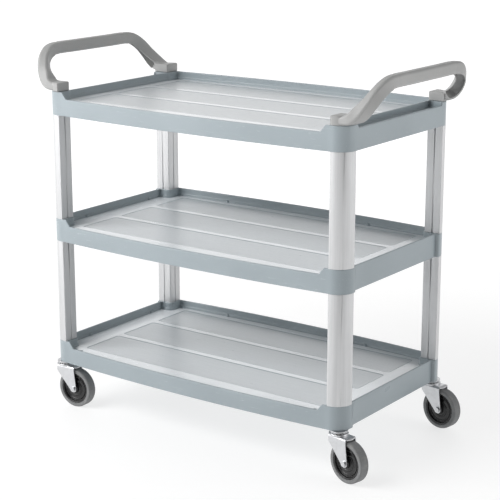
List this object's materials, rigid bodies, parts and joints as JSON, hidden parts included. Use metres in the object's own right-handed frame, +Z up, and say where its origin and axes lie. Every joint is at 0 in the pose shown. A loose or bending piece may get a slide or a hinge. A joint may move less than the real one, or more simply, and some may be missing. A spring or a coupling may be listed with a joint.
{
  "type": "food service trolley",
  "caption": "Food service trolley with moulded shelf trays on clamped aluminium corner posts, bail handles at both ends and swivel casters.",
  "frame": {"origin": "on the floor, under the middle of the trolley", "axes": "+X along the length towards the right handle, +Y towards the high back wall of the trays, +Z up"},
  "size_m": [1.0124, 0.4979, 0.9264],
  "materials": {
    "tray_plastic": "moulded polypropylene, fine satin texture",
    "handle_plastic": "moulded, warm grey satin",
    "post_aluminium": "satin anodised extrusion",
    "zinc_plate": "bright zinc plated pressing",
    "plain_steel": "plain turned steel",
    "hub_plastic": "black moulded wheel centre",
    "tyre_rubber": "grey non-marking tread"
  },
  "bodies": {
    "cart": {"bottom_tray": "tray_plastic", "middle_tray": "tray_plastic", "top_tray": "tray_plastic", "lower_post_front_left": "post_aluminium", "lower_post_front_right": "post_aluminium", "lower_post_back_left": "post_aluminium", "lower_post_back_right": "post_aluminium", "upper_post_front_left": "post_aluminium", "upper_post_front_right": "post_aluminium", "upper_post_back_left": "post_aluminium", "upper_post_back_right": "post_aluminium", "right_handle": "handle_plastic", "left_handle": "handle_plastic", "handle_inserts": "plain_steel", "coupling_nuts": "plain_steel", "tie_rod_front_left": "plain_steel", "tie_rod_front_right": "plain_steel", "tie_rod_back_left": "plain_steel", "tie_rod_back_right": "plain_steel", "caster_stem_front_left": "zinc_plate", "caster_stem_front_right": "zinc_plate", "caster_stem_back_left": "zinc_plate", "caster_stem_back_right": "zinc_plate"},
    "fork_front_left": {"fork_front_left": "zinc_plate", "race_balls_front_left": "plain_steel", "axle_bolt_front_left": "zinc_plate", "axle_nut_front_left": "zinc_plate", "axle_spacer_front_left": "plain_steel"},
    "wheel_front_left": {"wheel_hub_front_left": "hub_plastic", "wheel_tyre_front_left": "tyre_rubber"},
    "fork_front_right": {"fork_front_right": "zinc_plate", "race_balls_front_right": "plain_steel", "axle_bolt_front_right": "zinc_plate", "axle_nut_front_right": "zinc_plate", "axle_spacer_front_right": "plain_steel"},
    "wheel_front_right": {"wheel_hub_front_right": "hub_plastic", "wheel_tyre_front_right": "tyre_rubber"},
    "fork_back_left": {"fork_back_left": "zinc_plate", "race_balls_back_left": "plain_steel", "axle_bolt_back_left": "zinc_plate", "axle_nut_back_left": "zinc_plate", "axle_spacer_back_left": "plain_steel"},
    "wheel_back_left": {"wheel_hub_back_left": "hub_plastic", "wheel_tyre_back_left": "tyre_rubber"},
    "fork_back_right": {"fork_back_right": "zinc_plate", "race_balls_back_right": "plain_steel", "axle_bolt_back_right": "zinc_plate", "axle_nut_back_right": "zinc_plate", "axle_spacer_back_right": "plain_steel"},
    "wheel_back_right": {"wheel_hub_back_right": "hub_plastic", "wheel_tyre_back_right": "tyre_rubber"}
  },
  "joints": [
    {"name": "swivel_front_left", "type": "hinge", "parent": "cart", "child": "fork_front_left", "pos_m": [-0.419, -0.213, 0.1125], "axis": [0, 0, 1], "continuous": true},
    {"name": "roll_front_left", "type": "hinge", "parent": "fork_front_left", "child": "wheel_front_left", "pos_m": [-0.38405, -0.21117, 0.05], "axis": [-0.0523, 0.9986, 0], "continuous": true},
    {"name": "swivel_front_right", "type": "hinge", "parent": "cart", "child": "fork_front_right", "pos_m": [0.419, -0.213, 0.1125], "axis": [0, 0, 1], "continuous": true},
    {"name": "roll_front_right", "type": "hinge", "parent": "fork_front_right", "child": "wheel_front_right", "pos_m": [0.45323, -0.22028, 0.05], "axis": [0.2079, 0.9781, 0], "continuous": true},
    {"name": "swivel_back_left", "type": "hinge", "parent": "cart", "child": "fork_back_left", "pos_m": [-0.419, 0.213, 0.1125], "axis": [0, 0, 1], "continuous": true},
    {"name": "roll_back_left", "type": "hinge", "parent": "fork_back_left", "child": "wheel_back_left", "pos_m": [-0.38413, 0.20995, 0.05], "axis": [0.0872, 0.9962, 0], "continuous": true},
    {"name": "swivel_back_right", "type": "hinge", "parent": "cart", "child": "fork_back_right", "pos_m": [0.419, 0.213, 0.1125], "axis": [0, 0, 1], "continuous": true},
    {"name": "roll_back_right", "type": "hinge", "parent": "fork_back_right", "child": "wheel_back_right", "pos_m": [0.45362, 0.20783, 0.05], "axis": [0.1478, 0.989, 0], "continuous": true}
  ]
}
